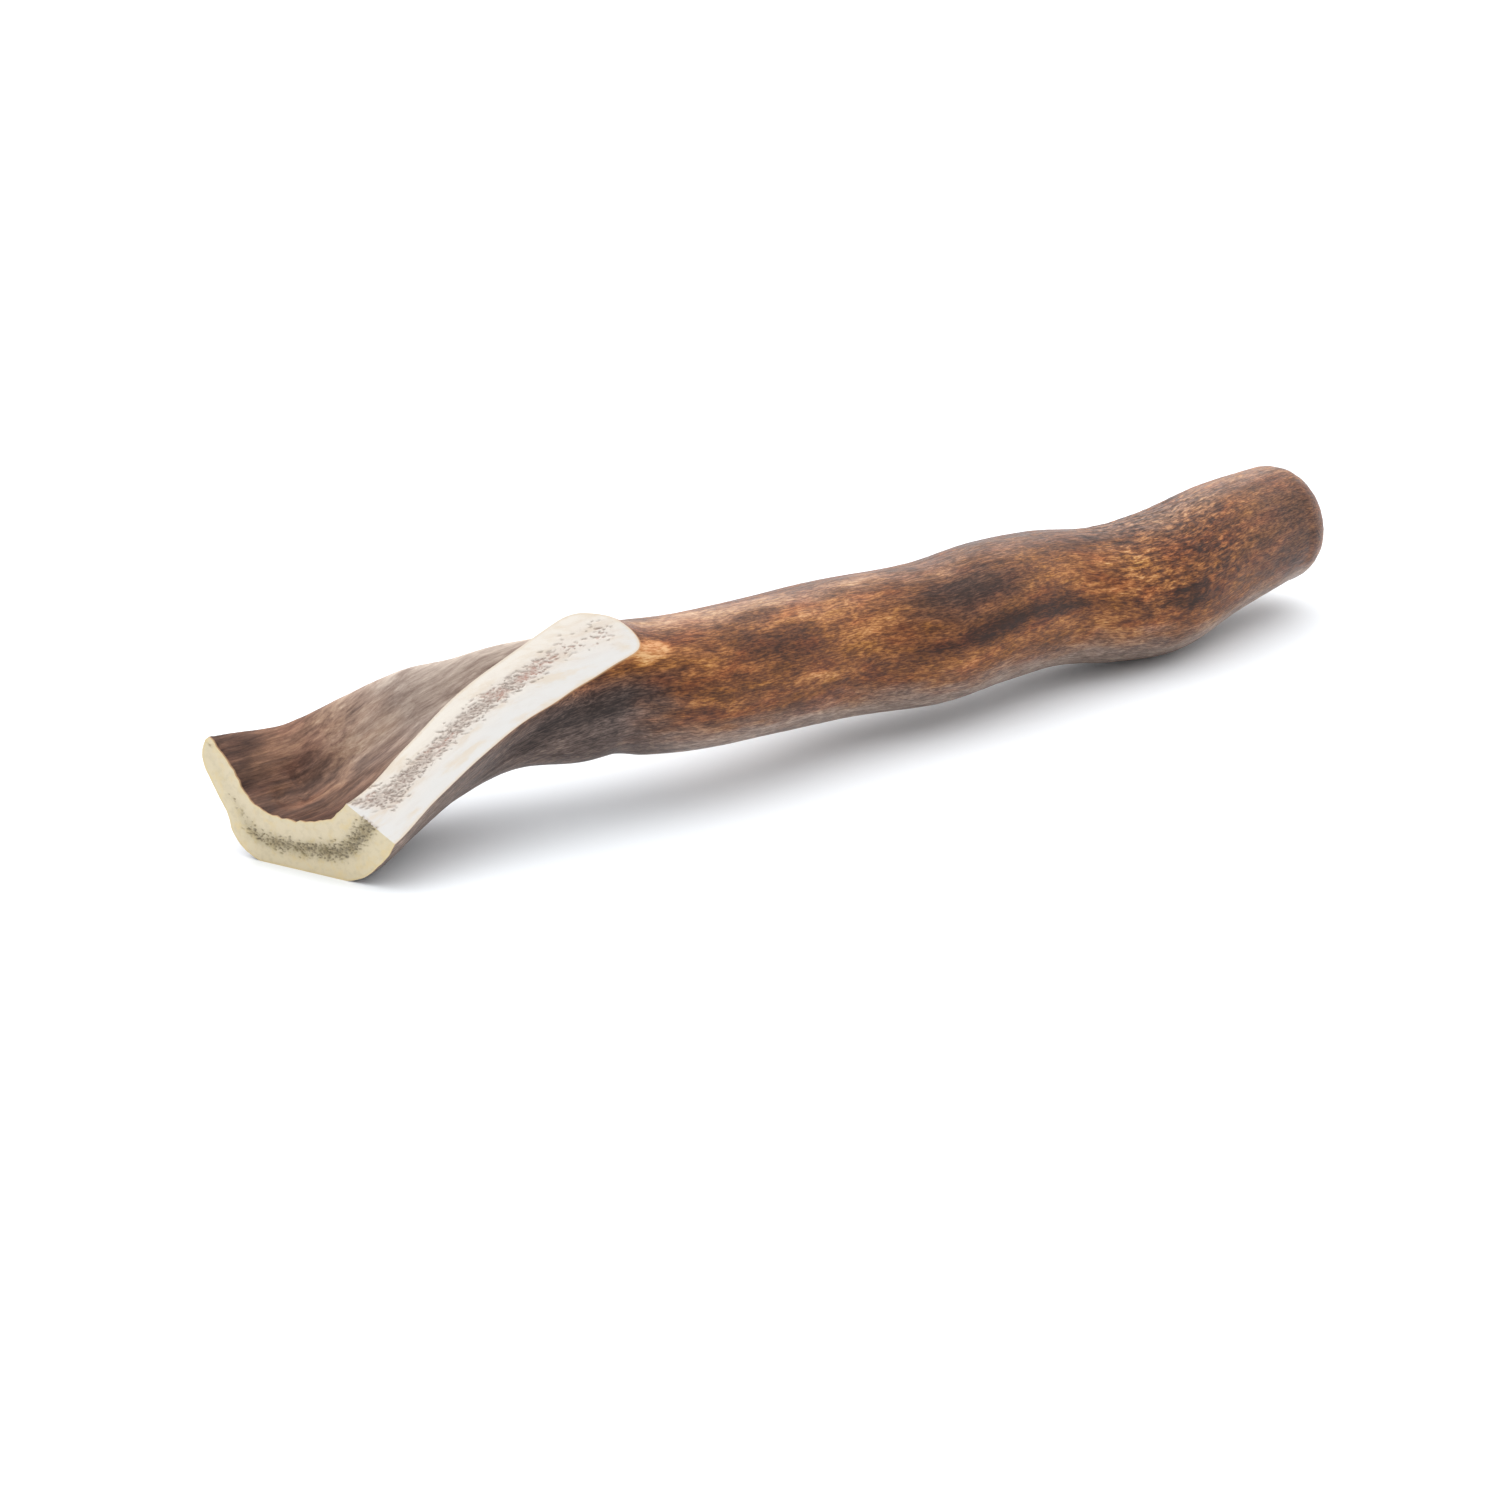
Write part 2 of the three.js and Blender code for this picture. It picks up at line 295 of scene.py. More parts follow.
# Short chipped grain on the front of the far third, and the trough's ragged edge at the palm's cut.
short_grain = rise(length_at, 186, 200) * rise(length_at, 236, 222) * rise(angle_at, 200, 150)
relief += (0.03 + 0.13 * short_grain) * roughness_of(grain, (2.6, 1.1, 1.1), 3, 5.7)
RAGGED = 0.4
ragged_edge = RAGGED * trough_columns * rise(from_palm_cut, 2.5, 0.5)
relief += ragged_edge * roughness_of(grain, (1.1, 1.6, 1.6), 3, 1.9)

# The ridge in the trough climbs the back wall, from RIDGE_DEGREES at RIDGE_AT.
RIDGE_AT, RIDGE_DEGREES = -6, 42
RIDGE_RUN, RIDGE_TURN = 26, 12
RIDGE_HEIGHT = 0.6


def from_ridge(length_at, angle_at):
    """Degrees from the middle of the ridge in the trough."""
    return angle_at - RIDGE_DEGREES - (length_at - RIDGE_AT) / RIDGE_RUN * RIDGE_TURN


trough_ridge = bell(from_ridge(length_at, angle_at), 0, 4)
relief += RIDGE_HEIGHT * in_trough * trough_ridge * rise(length_at, -9, 0) * rise(length_at, 34, 18)

# Holes of blood vessels: millimetres along the antler, and degrees round it.
BLOOD_HOLES = [(1.5, 37), (-3.3, 33), (9, 48)]
HOLE_HALF_LONG, HOLE_HALF_ROUND, HOLE_DEPTH = 0.9, 2.2, 0.7
for hole_at, hole_angle in BLOOD_HOLES:
    reach = ((length_at - hole_at) / HOLE_HALF_LONG) ** 2 + ((angle_at - hole_angle) / HOLE_HALF_ROUND) ** 2
    relief -= HOLE_DEPTH * in_trough * np.exp(-reach)
relief *= 0.2 + 0.8 * rise(from_long_cut, 0.3, 3)

# A shallow hollow under the lengthwise cut's outer edge keeps that edge straight.
HOLLOW_AT, HOLLOW_ANGLE = 51, 151
HOLLOW_HALF_LONG, HOLLOW_HALF_ROUND, HOLLOW_DEPTH = 6, 16, 1.1
relief -= HOLLOW_DEPTH * np.exp(
    -((length_at - HOLLOW_AT) / HOLLOW_HALF_LONG) ** 2 - ((angle_at - HOLLOW_ANGLE) / HOLLOW_HALF_ROUND) ** 2)
relief *= rise(np.arange(ring_count), ring_count - 1, ring_count - 6)[:, None]

outward = np.cross(np.roll(surface, -1, 1) - np.roll(surface, 1, 1), np.gradient(surface, axis=0))
outward /= np.linalg.norm(outward, axis=-1, keepdims=True)
surface += relief[..., None] * outward
surface[..., 2] = np.maximum(surface[..., 2], WORN_FLAT)

bpy.ops.mesh.primitive_grid_add(x_subdivisions=ring_count - 1, y_subdivisions=around, size=2)
antler = bpy.context.object
antler.name = "sawn_antler"
mesh = antler.data
flat = np.empty(len(mesh.vertices) * 3)
mesh.vertices.foreach_get("co", flat)
flat = flat.reshape(-1, 3)
ring = np.rint((flat[:, 0] + 1) / 2 * (ring_count - 1)).astype(int)
column = np.rint((flat[:, 1] + 1) / 2 * around).astype(int) % around
mesh.vertices.foreach_set("co", (surface[ring, column] * MM).ravel())
mesh.attributes.new("trough", "FLOAT", "POINT").data.foreach_set("value", trough_columns[column])
mesh.update()


# Saw cuts. One goes across the palm and one lengthwise through the front wall, both flat. They bare
# a hard cream wall round a spongy core, whose pores are cut open as small pits. The far end's cut
# is worn, so only a small disc of it is left inside the round rim.
long_point = Vector((0, 0, LONG_SAW_HEIGHT)) * MM
SLOTS = BARK, LONG_CUT, PALM_CUT, FAR_CUT = range(4)

# Steps of the net on a cut, finer in the core, and how far its points stray from their rows.
CORE_STEP = 0.17
WALL_STEP = 0.6
OUT_OF_ROW = 0.22
CORE_EDGE = 0.08
FAR_CUT_REACH = 8

# Half a pore's least and greatest width, how far it lies aslant, in radians, and its depth.
PORE_HALF_WIDE = 0.1, 0.25
PORE_ASLANT = 0.25
PORE_DEPTH = 0.3
chance = np.random.default_rng(7)


def saw(point, away):
    """Takes off all that lies beyond the cut, and leaves it open."""
    bpy.ops.mesh.select_all(action="SELECT")
    bpy.ops.mesh.bisect(plane_co=point, plane_no=away, clear_outer=True, threshold=1e-6)
    bpy.ops.mesh.select_all(action="SELECT")
    bpy.ops.mesh.remove_doubles(threshold=2e-5)


def rim_of_cut(shell, point, away):
    """The vertices round the open cut, in order."""
    next_to = {}
    for edge in shell.edges:
        if edge.is_boundary and all(abs((v.co - point).dot(away)) < 3e-5 for v in edge.verts):
            first, second = edge.verts
            next_to.setdefault(first, []).append(second)
            next_to.setdefault(second, []).append(first)
    rim = [next(iter(next_to))]
    before = None
    while len(rim) < len(next_to):
        ahead = [v for v in next_to[rim[-1]] if v is not before][0]
        before = rim[-1]
        rim.append(ahead)
    for vertex in rim:
        vertex.co -= (vertex.co - point).dot(away) * away
    return rim


def nearest(points, line):
    return np.abs(points[:, None] - line[None, :]).min(1)


def honeycomb(line, step):
    """Points in staggered rows, a little out of place, inside a closed line."""
    rows = np.arange(line.imag.min(), line.imag.max(), step * math.sqrt(0.75))
    posts = np.arange(line.real.min() - step, line.real.max() + step, step)
    points = (posts[None, :] + step / 2 * (np.arange(len(rows)) % 2)[:, None] + 1j * rows[:, None]).ravel()
    astray = chance.uniform(-1, 1, len(points)) + 1j * chance.uniform(-1, 1, len(points))
    points = points + step * OUT_OF_ROW * astray
    winding = np.zeros(len(points))
    for start, end in zip(line, np.roll(line, -1)):
        winding += np.angle((end - points) / (start - points))
    points = points[np.abs(winding) > math.pi]
    return points[nearest(points, line) > 0.6 * step]


def dress(point, away, lengthwise, slot, core_of, pores, pore_long):
    """Closes an open cut with a fine net, with pits in its core."""
    shell = bmesh.from_edit_mesh(mesh)
    layers = [
        shell.verts.layers.float.get(name) or shell.verts.layers.float.new(name)
        for name in ("across", "core", "pit")]
    trough = shell.verts.layers.float["trough"]
    rim = rim_of_cut(shell, point, away)
    side = away.cross(lengthwise)
    line = np.array([complex((v.co - point).dot(lengthwise), (v.co - point).dot(side)) for v in rim]) / MM
    is_trough = np.array([v[trough] > 0.5 for v in rim])

    def across_and_core(points):
        """How far each point is across the bone from the trough's side, and how spongy it is."""
        if is_trough.any():
            inner = nearest(points, line[is_trough])
            across = inner / (inner + nearest(points, line[~is_trough]))
        else:
            across = nearest(points, line) / FAR_CUT_REACH
        return across, core_of(points, across)

    coarse, fine = honeycomb(line, WALL_STEP), honeycomb(line, CORE_STEP)
    coarse = coarse[across_and_core(coarse)[1] <= CORE_EDGE]
    fine = fine[across_and_core(fine)[1] > CORE_EDGE]
    inside = np.concatenate([coarse, fine])
    across, core = across_and_core(inside)

    # Each pore is an oval pit, mostly where the core is spongiest.
    pit = np.zeros(len(inside))
    centres = chance.choice(inside, pores, p=core ** 2 / (core ** 2).sum())
    for centre in centres:
        half_wide = chance.uniform(*PORE_HALF_WIDE)
        half_long = half_wide * chance.uniform(1, pore_long)
        aslant = np.exp(1j * chance.normal(0, PORE_ASLANT))
        offset = (inside - centre) * aslant
        depth = 1 - (offset.real / half_long) ** 2 - (offset.imag / half_wide) ** 2
        pit = np.maximum(pit, depth * chance.uniform(0.25, 1))
    pit = np.clip(pit, 0, 1)
    down = PORE_DEPTH * np.sqrt(pit)

    corners = [(p.real, p.imag) for p in np.concatenate([line, inside])]
    border = [(i, (i + 1) % len(line)) for i in range(len(line))]
    found, _, triangles, origins, _, _ = delaunay_2d_cdt(corners, border, [], 1, 1e-6)
    vertices = []
    for place, origin in zip(found, origins):
        if origin and origin[0] < len(line):
            vertices.append(rim[origin[0]])
            continue
        k = origin[0] - len(line)
        on_cut = place[0] * lengthwise + place[1] * side
        vertex = shell.verts.new(point + MM * (on_cut - float(down[k]) * away))
        for layer, value in zip(layers, (across[k], core[k], pit[k])):
            vertex[layer] = value
        vertices.append(vertex)
    for triangle in triangles:
        shell.faces.new([vertices[i] for i in triangle]).material_index = slot
    for vertex, value in zip(rim, across_and_core(line)[0]):
        vertex[layers[0]] = value
    for edge in shell.edges:
        edge.smooth = len({face.material_index for face in edge.link_faces}) < 2
    bmesh.update_edit_mesh(mesh)


def long_core(points, across):
    """The band of core on the lengthwise cut, wide and faint at its top end."""
    share = (points.real - points.real.min()) / np.ptp(points.real)
    centre = 0.37 + 0.05 * share
    width = 0.14 + 0.1 * rise(share, 0.3, 0) + 0.14 * rise(share, 0.72, 1)
    strength = rise(share, 1.02, 0.9) * (1 - 0.6 * rise(share, 0.62, 0.85))
    return bell(across, centre, width) * strength


def palm_core(points, across):
    """The band of core along the middle of the palm's cut, faint towards the back wall's tip."""
    share = (points.real - points.real.min()) / np.ptp(points.real)
    strength = 0.12 + 0.88 * rise(share, 0.08, 0.36) * rise(share, 0.95, 0.86)
    return bell(across, 0.54 - 0.08 * rise(share, 0.6, 0.9), 0.16) * strength


def far_core(points, across):
    return bell(across, 0.55, 0.25)


for slot in SLOTS:
    mesh.materials.append(None)
bpy.ops.object.mode_set(mode="EDIT")
bpy.ops.mesh.select_all(action="SELECT")
bpy.ops.mesh.remove_doubles(threshold=1e-5)
saw(Vector((0, 0, 0)), palm_away)
palm_lengthwise = Vector((0, 0, 1)).cross(palm_away)
dress(Vector((0, 0, 0)), palm_away, palm_lengthwise, PALM_CUT, palm_core, 700, 2.5)
saw(long_point, long_away)
long_lengthwise = Vector((0.957, -0.221, 0.157))
long_lengthwise = (long_lengthwise - long_lengthwise.dot(long_away) * long_away).normalized()
dress(long_point, long_away, long_lengthwise, LONG_CUT, long_core, 1000, 4.5)
far_point = Vector((COURSE[-1, 0] + RIM_RADIUS, COURSE[-1, 1], COURSE[-1, 2])) * MM
dress(far_point, Vector((1, 0, 0)), Vector((0, 1, 0)), FAR_CUT, far_core, 60, 1.3)
bpy.ops.mesh.select_all(action="SELECT")
bpy.ops.mesh.normals_make_consistent(inside=False)
bpy.ops.object.mode_set(mode="OBJECT")
bpy.ops.object.shade_smooth()

# The antler's place: its box stands where the frame's antler has its own.
places = np.empty(len(mesh.vertices) * 3)
mesh.vertices.foreach_get("co", places)
places = places.reshape(-1, 3)
low, high = places.min(0), places.max(0)
cad_low, cad_high = (np.array(corner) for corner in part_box("antler"))
shift = (cad_low + cad_high - low - high) / 2
shift[2] = cad_low[2] - low[2]
mesh.vertices.foreach_set("co", (places + shift).ravel())
mesh.update()


# Colour of the bark. Blood and sap stained it brown along the grain, darker in patches and gold
# where it was rubbed. The back is greyer; the top, underside and upper trough are greyer and paler, partly as
# painted light. A stain is given by x, degrees round, half its length in mm, half its width in degrees, and
# -1 dark to 1 gold.
STAINS = [
    (153, 130, 14, 18, -0.85), (165, 114, 12, 11, 0.2), (181, 138, 12, 12, 0.3), (104, 119, 11, 9, 0.6),
    (244, 85, 18, 20, 0.4), (128, 146, 12, 12, 0.4), (196, 158, 9, 9, 0.5), (211, 173, 6, 6, -1.1),
    (203, 177, 5, 5, -0.7), (190, 196, 14, 10, 0.25), (88, 95, 22, 13, 0.75), (124, 96, 24, 10, 0.5),
    (68, 130, 6, 9, 1.1), (78, 143, 6, 9, 0.5), (60, 165, 10, 14, -0.55), (50, 170, 10, 14, -0.5),
    (40, 175, 11, 12, -0.4), (77, 180, 9, 5, 0.5), (108, 178, 12, 4, 0.7), (124, 122, 13, 9, 0.5),
    (126, 165, 10, 9, 0.3), (97, 137, 12, 11, -0.35), (100, 109, 5, 6, -0.5), (201, 134, 10, 18, 0.25),
    (217, 147, 13, 20, -0.15), (240, 150, 20, 40, -0.1), (252, 185, 9, 50, -0.35), (84, 30, 14, 16, -0.6),
    (118, 12, 12, 14, 0.6), (150, 40, 16, 12, -0.6), (186, 20, 14, 15, 0.5), (212, 48, 10, 12, -0.5),
    (100, 285, 20, 18, 0.4), (176, 300, 18, 14, -0.4), (232, 330, 14, 18, 0.3),
]

grain = along_the_grain(places / MM)
length_at = grain[:, 0]
angle_at = degrees_round(grain)
astray_along = 4 * roughness_of(grain, (7, 2.5, 2.5), 3, 11.3)
astray_round = 9 * roughness_of(grain, (9, 2.5, 2.5), 3, 21.9)
wavy_length = length_at + astray_along
wavy_angle = angle_at + astray_round
STAIN_EDGE = 1.4
tone_and_painted_light = np.zeros(len(grain))
for at, degrees, half_long, half_round, depth in STAINS:
    round_from = (wavy_angle - degrees + 180) % 360 - 180
    reach = ((wavy_length - at) / half_long) ** 2 + (round_from / half_round) ** 2
    tone_and_painted_light += depth * np.exp(-reach ** STAIN_EDGE)

# One dark streak runs down the front of the beam, with an orange band under it.
STREAK_AT = [132, 148, 168, 192]
STREAK_DEGREES = [177, 169, 164, 166]
from_streak = angle_at + 0.35 * astray_round - np.interp(length_at, STREAK_AT, STREAK_DEGREES)
streak = rise(wavy_length, 130, 146) * rise(wavy_length, 194, 178)
tone_and_painted_light += streak * (0.45 * bell(from_streak, 17, 7) - 1.05 * bell(from_streak, 0, 7.5))

trough_side = np.empty(len(mesh.vertices))
mesh.attributes["trough"].data.foreach_get("value", trough_side)
trough_side *= rise(length_at + 0.5 * astray_along, 68, 54)

# Where the bark is greyer, and where it is chipped. On top the greying is partly a painted sheen, underneath
# partly a painted reflection of the floor, and up the trough partly painted light from above.
# Greyer underneath: partly the bark's own grey, partly a painted reflection of the white floor.
below_grey_and_reflection = rise(np.abs(wavy_angle - 270), 82, 45)
under_the_cut = (1 - trough_side) * rise(wavy_length, 76, 58) * rise(angle_at, 140, 165)
far_tip = 0.2 * rise(length_at, 222, 252)
# Greyer and paler on top: partly the bark's own colour, partly a painted sheen of the light from above.
greyer_top_and_sheen = 0.5 * bell(wavy_angle, 92, 21) * (1 - trough_side)
patch = 0.4 * np.exp(-((wavy_length - 153) / 14) ** 2 - ((wavy_angle - 130) / 19) ** 2)
from_back = np.abs((angle_at + 180) % 360 - 180)
back = 0.55 * rise(from_back + astray_round, 75, 20)
chipped = rise(length_at, 186, 200) * rise(length_at, 245, 225) * rise(angle_at, 205, 150)
# Greyer up the trough, away from the palm: partly the bark's own grey, partly painted light falling into the
# trough from above.
trough_grey_and_light = trough_side * (0.45 + 0.7 * rise(wavy_length, -5, 35))
grey_and_painted_light = np.max([below_grey_and_reflection, under_the_cut, far_tip, greyer_top_and_sheen, patch, back, trough_grey_and_light], 0)
tone_and_painted_light -= 0.3 * under_the_cut * rise(length_at, 30, 50)
# Lighter underneath along the beam, partly a painted reflection of the white floor.
tone_and_painted_light += 0.5 * below_grey_and_reflection * rise(length_at, 70, 90)
# In the trough: lighter along the ridge, a painted highlight; lighter further from the palm, partly painted
# light from above; darker and redder next to the palm's cut.
ridge_highlight = bell(from_ridge(length_at, angle_at), 0, 6) * rise(length_at, -9, 0)
tone_and_painted_light += trough_side * (0.65 * ridge_highlight + 0.75 * rise(length_at, 5, 35) - 0.5 * rise(length_at, 12, -6))

# How far each place is from the edge of a saw cut, in millimetres, and no more than FARTHEST.
FARTHEST = 9
cut_of = [set(), set()]
for face in mesh.polygons:
    cut_of[face.material_index != BARK].update(face.vertices)
edge_of_cut = sorted(cut_of[0] & cut_of[1])
tree = kdtree.KDTree(len(edge_of_cut))
for index in edge_of_cut:
    tree.insert(places[index], index)
tree.balance()
from_edge = np.array([min(tree.find(place)[2] / MM, FARTHEST) for place in places])

mesh.attributes["trough"].data.foreach_set("value", trough_side)
for name, values in (("tone_and_painted_light", tone_and_painted_light), ("grey_and_painted_light", grey_and_painted_light), ("chipped", chipped), ("from_edge", from_edge)):
    mesh.attributes.new(name, "FLOAT", "POINT").data.foreach_set("value", values)
mesh.attributes.new("grain", "FLOAT_VECTOR", "POINT").data.foreach_set("vector", grain.ravel())


def paint(red, green, blue):
    """The shader colour of a screen colour in 0 to 255."""
    screen = [part / 255 for part in (red, green, blue)]
    return (*[c / 12.92 if c <= 0.04045 else ((c + 0.055) / 1.055) ** 2.4 for c in screen], 1)


def new_finish(name, slot):
    """A material for one slot of the antler, and its shader."""
    material = bpy.data.materials.new(name)
    material.use_nodes = True
    mesh.materials[slot] = material
    return material.node_tree, material.node_tree.nodes["Principled BSDF"]


def add(tree, kind, sockets, out=0, **settings):
    """Adds a node with its settings, links or sets its sockets, and gives one of its outputs."""
    made = tree.nodes.new("ShaderNode" + kind)
    for key, value in settings.items():
        setattr(made, key, value)
    for key, value in sockets.items():
        if isinstance(value, bpy.types.NodeSocket):
            tree.links.new(value, made.inputs[key])
        else:
            made.inputs[key].default_value = value
    return made.outputs[out]


def carried(tree, name):
    """A number that the mesh carries at each place."""
    return add(tree, "Attribute", {}, out=2, attribute_name=name)


def grain_noise(tree, length, width, detail, rough, seed=0):
    """Noise drawn out along the grain, its features `length` by `width` millimetres."""
    grain = add(tree, "Attribute", {}, out=1, attribute_name="grain")
    drawn = add(tree, "Mapping", {
        "Vector": grain, "Location": (seed, seed, seed), "Scale": (1 / length, 1 / width, 1 / width)})
    return add(tree, "TexNoise", {"Vector": drawn, "Scale": 1, "Detail": detail, "Roughness": rough})


def sum_of(tree, base, parts):
    """base plus each part's number less 0.5, times its weight."""
    total = base - sum(weight for _, weight in parts) / 2
    for number, weight in parts:
        total = add(tree, "Math", {0: number, 1: weight, 2: total}, operation="MULTIPLY_ADD")
    return total


def between(tree, number, start, end, low=0, high=1):
    """The number's run from start to end, smoothed, as low to high."""
    return add(tree, "MapRange", {"Value": number, 1: start, 2: end, 3: low, 4: high},
               interpolation_type="SMOOTHSTEP")


def times(tree, *numbers):
    product = numbers[0]
    for number in numbers[1:]:
        product = add(tree, "Math", {0: product, 1: number}, operation="MULTIPLY")
    return product


def blend(tree, share, first, second, kind="MIX"):
    return add(tree, "Mix", {0: share, 6: first, 7: second}, out=2, data_type="RGBA", blend_type=kind)


def ramp(tree, number, stops):
    made = tree.nodes.new("ShaderNodeValToRGB")
    tree.links.new(number, made.inputs[0])
    while len(made.color_ramp.elements) < len(stops):
        made.color_ramp.elements.new(0.5)
    for element, (place, colour) in zip(made.color_ramp.elements, stops):
        element.position = place
        element.color = colour
    return made.outputs[0]


tree, shader = new_finish("antler_bark", BARK)
blotches = grain_noise(tree, 18, 7, 4, 0.6)
mottle = grain_noise(tree, 3.6, 1.8, 6, 0.72, seed=31)
fibres = grain_noise(tree, 8, 0.8, 4, 0.6, seed=57)
threads = grain_noise(tree, 1.6, 0.3, 2, 0.6, seed=83)
fine_lines = between(tree, threads, 0.36, 0.64)
MIDDLE_SHADE = 0.47
outside = sum_of(tree, MIDDLE_SHADE, [(blotches, 0.5), (mottle, 0.75), (fibres, 0.4), (fine_lines, 0.22)])
furrows = grain_noise(tree, 16, 1.1, 5, 0.62, seed=43)
inside = sum_of(tree, MIDDLE_SHADE, [(blotches, 0.5), (furrows, 0.85), (mottle, 0.3), (fine_lines, 0.06)])
shade = add(tree, "Mix", {0: carried(tree, "trough"), 2: outside, 3: inside})
chips = grain_noise(tree, 2.4, 0.9, 3, 0.6, seed=19)
chip_marks = times(tree, carried(tree, "chipped"), between(tree, chips, 0.36, 0.64, -0.5, 0.5))
shade = add(tree, "Math", {0: chip_marks, 1: 0.3, 2: shade}, operation="MULTIPLY_ADD")
# The stains shift the shade here, and so do painted light in the trough, a painted highlight on its ridge and
# a painted floor reflection underneath.
shade = add(tree, "Math", {0: carried(tree, "tone_and_painted_light"), 1: 0.32, 2: shade}, operation="MULTIPLY_ADD")
brown = ramp(tree, shade, [
    (0.06, paint(44, 23, 14)), (0.24, paint(64, 35, 21)), (0.42, paint(97, 57, 33)),
    (0.58, paint(132, 81, 44)), (0.76, paint(178, 121, 70)), (0.98, paint(214, 170, 120))])
slate = ramp(tree, shade, [
    (0.06, paint(44, 35, 32)), (0.24, paint(70, 58, 54)), (0.42, paint(100, 86, 80)),
    (0.58, paint(131, 114, 105)), (0.76, paint(165, 147, 136)), (0.98, paint(202, 187, 174))])
hue = grain_noise(tree, 13, 5, 4, 0.6, seed=97)
brown = blend(tree, between(tree, hue, 0.5, 0.66), brown, paint(255, 238, 238), kind="MULTIPLY")
brown = blend(tree, between(tree, hue, 0.5, 0.36), brown, paint(252, 252, 222), kind="MULTIPLY")
# Greyed towards slate: the bark's own grey, with a painted sheen on top, a painted floor reflection
# underneath and painted light in the trough.
colour = blend(tree, times(tree, carried(tree, "grey_and_painted_light"), 0.92), brown, slate)
worn_edge = between(tree, carried(tree, "from_edge"), 0.1, 0.45, 0.75, 0)
colour = blend(tree, worn_edge, colour, paint(196, 158, 118))
tree.links.new(colour, shader.inputs["Base Color"])
tree.links.new(between(tree, mottle, 0.3, 0.7, 0.36, 0.54), shader.inputs["Roughness"])
shader.inputs["Specular IOR Level"].default_value = 0.24
height = sum_of(tree, 0.5, [(fibres, 1.0), (threads, 0.5), (mottle, 0.4)])
bump = add(tree, "Bump", {"Strength": 0.5, "Distance": 0.25 * MM, "Height": height})
tree.links.new(bump, shader.inputs["Normal"])


# Colour of the saw cuts. The wall of hard bone is ivory, cooler away from the trough, and the core
# is a duller band with dark, partly reddish pores. A thin darker line of bark runs round the edge.
def saw_cut_finish(name, slot, wall_inner, wall_outer, core_colour, pore_colour, blood_colour, rim_colour):
    tree, shader = new_finish(name, slot)
    across = carried(tree, "across")
    core = carried(tree, "core")
    pit = carried(tree, "pit")
    cloud = grain_noise(tree, 9, 2.4, 4, 0.6, seed=11)
    speckle = grain_noise(tree, 0.9, 0.4, 3, 0.7, seed=67)
    side = add(tree, "Math", {0: cloud, 1: 0.3, 2: across}, operation="MULTIPLY_ADD")
    colour = blend(tree, between(tree, side, 0.5, 0.95), wall_inner, wall_outer)
    streaks = grain_noise(tree, 12, 1.3, 4, 0.6, seed=41)
    colour = blend(tree, between(tree, streaks, 0.45, 0.7, 0, 0.16), colour, core_colour)
    colour = blend(tree, between(tree, cloud, 0.48, 0.7, 0, 0.6), colour, rim_colour)
    dull = times(tree, core, between(tree, cloud, 0.25, 0.7, 0.45, 1))
    colour = blend(tree, dull, colour, core_colour)
    flecks = times(tree, core, between(tree, speckle, 0.56, 0.66))
    plain = times(tree, pit, between(tree, core, 0, 0.6, 0.3, 1))
    dark = add(tree, "Math", {0: plain, 1: times(tree, flecks, 0.5)}, operation="MAXIMUM")
    patches = grain_noise(tree, 7, 3, 2, 0.5, seed=29)
    inside_pores = blend(tree, between(tree, patches, 0.48, 0.62), pore_colour, blood_colour)
    colour = blend(tree, times(tree, dark, 0.85), colour, inside_pores)
    rim = between(tree, carried(tree, "from_edge"), 0.15, 0.7, 0.6, 0)
    colour = blend(tree, rim, colour, rim_colour)
    tree.links.new(colour, shader.inputs["Base Color"])
    shader.inputs["Roughness"].default_value = 0.62
    height = sum_of(tree, 0.5, [(speckle, 1.0)])
    bump = add(tree, "Bump", {"Strength": 0.3, "Distance": 0.1 * MM, "Height": height})
    tree.links.new(bump, shader.inputs["Normal"])


saw_cut_finish("long_saw_cut", LONG_CUT, paint(220, 213, 203), paint(210, 208, 205),
               paint(196, 183, 173), paint(124, 102, 92), paint(156, 104, 88), paint(208, 192, 170))
saw_cut_finish("palm_saw_cut", PALM_CUT, paint(212, 198, 169), paint(211, 197, 166),
               paint(144, 129, 97), paint(70, 62, 47), paint(92, 82, 44), paint(214, 192, 142))
saw_cut_finish("far_saw_cut", FAR_CUT, paint(196, 178, 148), paint(196, 178, 148),
               paint(150, 130, 104), paint(80, 64, 50), paint(96, 66, 50), paint(120, 94, 70))

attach(antler, "root")
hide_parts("antler")


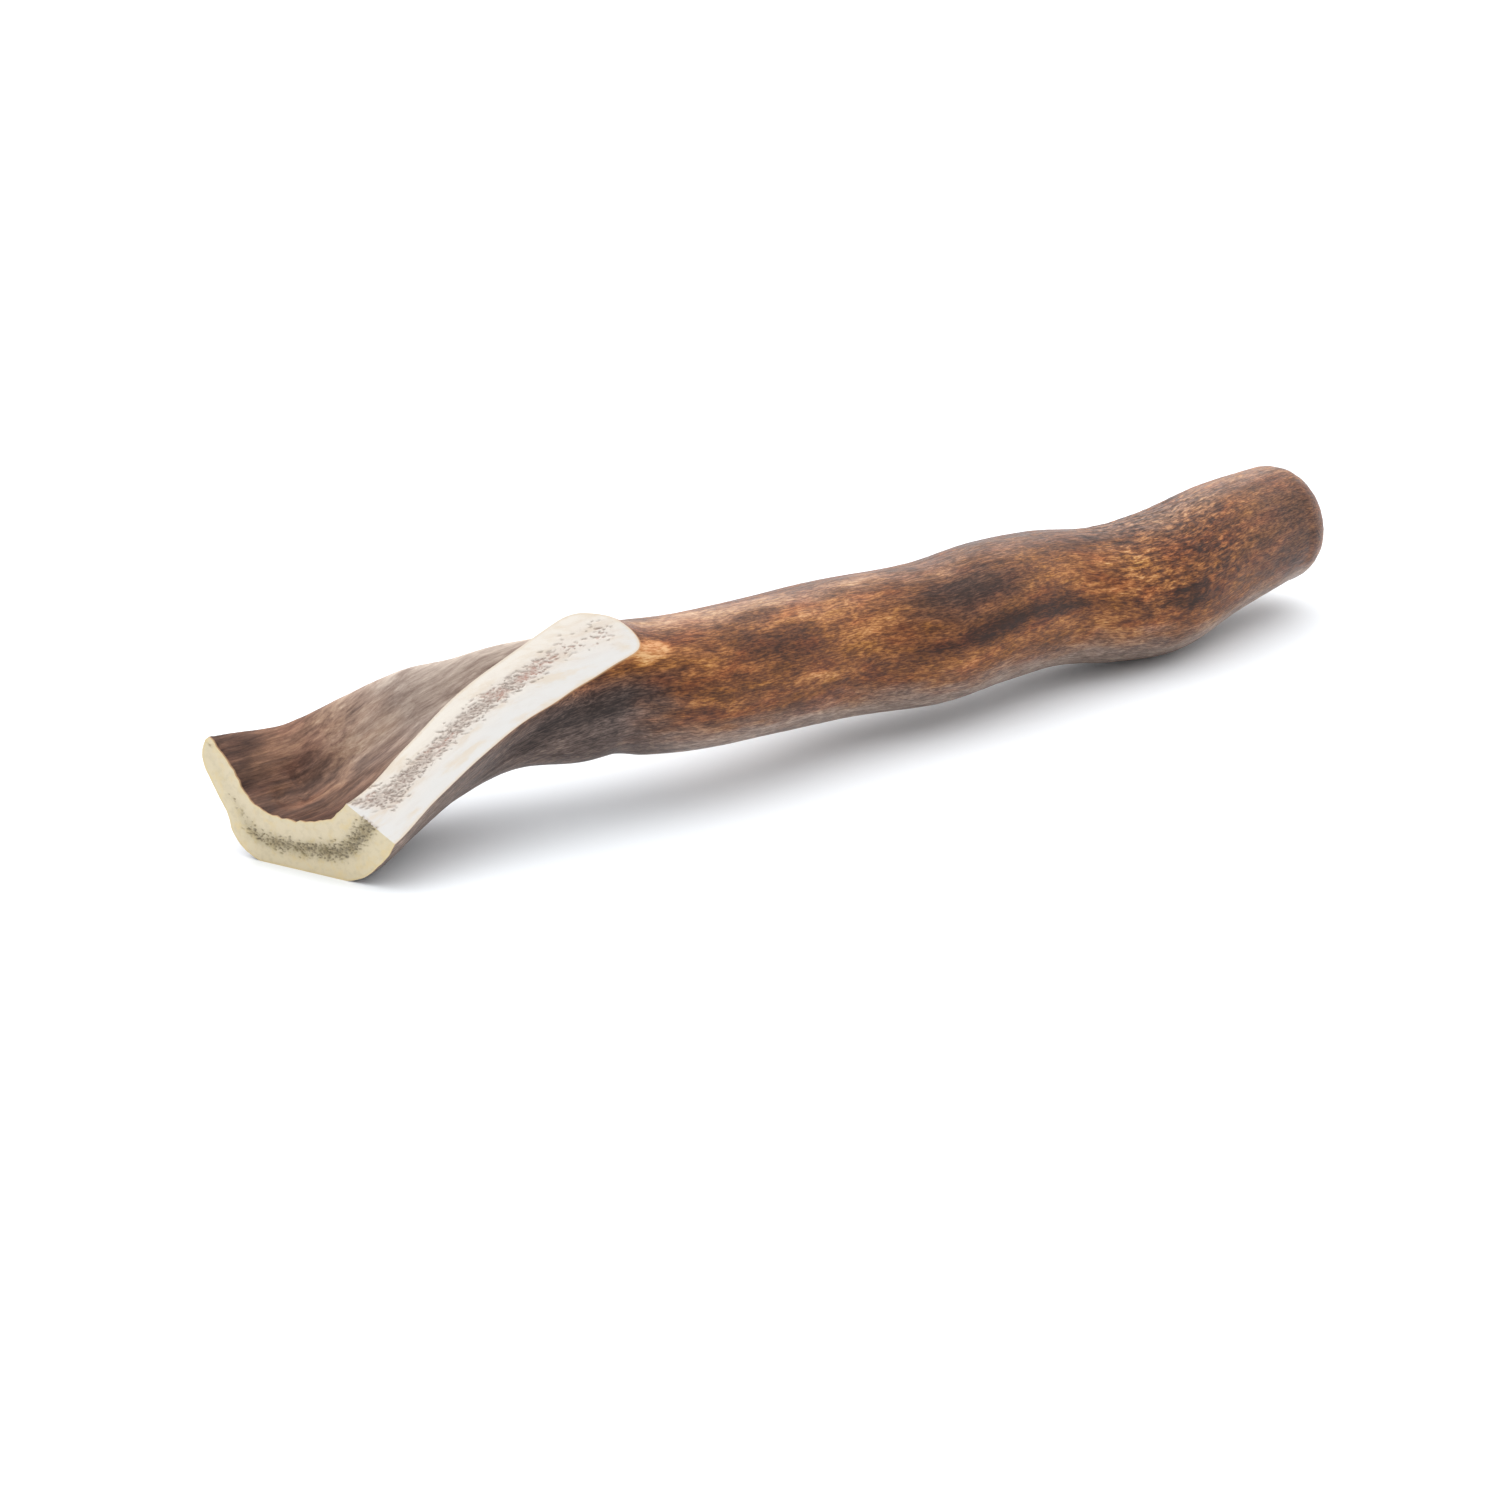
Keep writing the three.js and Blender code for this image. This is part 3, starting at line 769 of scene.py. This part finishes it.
# Floor and light. A matt white floor under a large soft lamp high behind the antler, in a white
# room, so that the shadow falls softly towards the front.
FLOOR_SIDE = 8
bpy.ops.mesh.primitive_plane_add(size=FLOOR_SIDE)
floor = bpy.context.object
floor.name = "white_floor"
white = bpy.data.materials.new("matt_white")
white.use_nodes = True
white.node_tree.nodes["Principled BSDF"].inputs["Base Color"].default_value = (0.87, 0.9, 0.93, 1)
white.node_tree.nodes["Principled BSDF"].inputs["Roughness"].default_value = 1
white.node_tree.nodes["Principled BSDF"].inputs["Specular IOR Level"].default_value = 0
floor.data.materials.append(white)

LAMP_AZIMUTH = math.radians(20)
LAMP_ELEVATION = math.radians(76)
towards_lamp = Vector((
    math.sin(LAMP_AZIMUTH) * math.cos(LAMP_ELEVATION), math.cos(LAMP_AZIMUTH) * math.cos(LAMP_ELEVATION),
    math.sin(LAMP_ELEVATION)))
bpy.ops.object.light_add(type="SUN", rotation=towards_lamp.to_track_quat("Z", "Y").to_euler())
lamp = bpy.context.object
lamp.data.energy = 1.7
lamp.data.angle = math.radians(100)
lamp.visible_glossy = False

# The room is brightest overhead and behind, and darker in front. Seen past the floor it is white.
BRIGHT_SIDE = 1.5
DARK_SIDE = 0.45
front_of_room = Vector((math.sin(AZIMUTH), -math.cos(AZIMUTH), 0))
room = bpy.data.worlds.new("white_room")
room.use_nodes = True
bpy.context.scene.world = room
backdrop = room.node_tree.nodes["Background"]
backdrop.inputs["Color"].default_value = (1, 1, 1, 1)
direction = add(room.node_tree, "TexCoord", {})
frontward = add(
    room.node_tree, "VectorMath", {0: direction, 1: front_of_room}, out=1, operation="DOT_PRODUCT")
room_light = between(room.node_tree, frontward, -0.2, 0.85, BRIGHT_SIDE, DARK_SIDE)
seen = add(room.node_tree, "LightPath", {})
strength = add(room.node_tree, "MapRange", {"Value": seen, 3: room_light, 4: 1})
room.node_tree.links.new(strength, backdrop.inputs["Strength"])
bpy.context.scene.view_settings.view_transform = "Standard"

bpy.context.view_layer.update()
